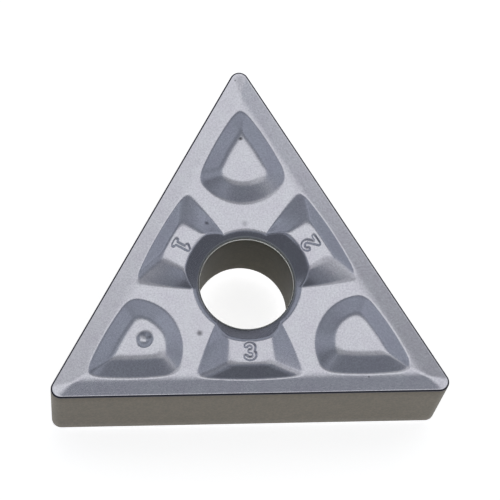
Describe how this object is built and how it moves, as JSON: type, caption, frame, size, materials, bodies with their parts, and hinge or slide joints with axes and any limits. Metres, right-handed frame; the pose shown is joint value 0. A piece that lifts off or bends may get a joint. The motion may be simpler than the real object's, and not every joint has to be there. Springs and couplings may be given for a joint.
{
  "type": "indexable carbide insert",
  "caption": "Triangular double-sided indexable cutting insert with moulded chip breakers, raised seat pads and a countersunk clamping bore.",
  "frame": {"origin": "on the axis of the clamping bore, half way between the two faces", "axes": "+Z along the bore axis, out of the upper face; +Y towards the first corner; +X to the right with that corner pointing away; the side between the other two corners faces -Y"},
  "size_m": [0.016, 0.0139, 0.005],
  "materials": {
    "coated_carbide": "satin coated carbide, lavender grey on the rake faces, olive grey on the flanks and in the bore"
  },
  "bodies": {
    "root": {"insert": "coated_carbide"}
  },
  "joints": []
}
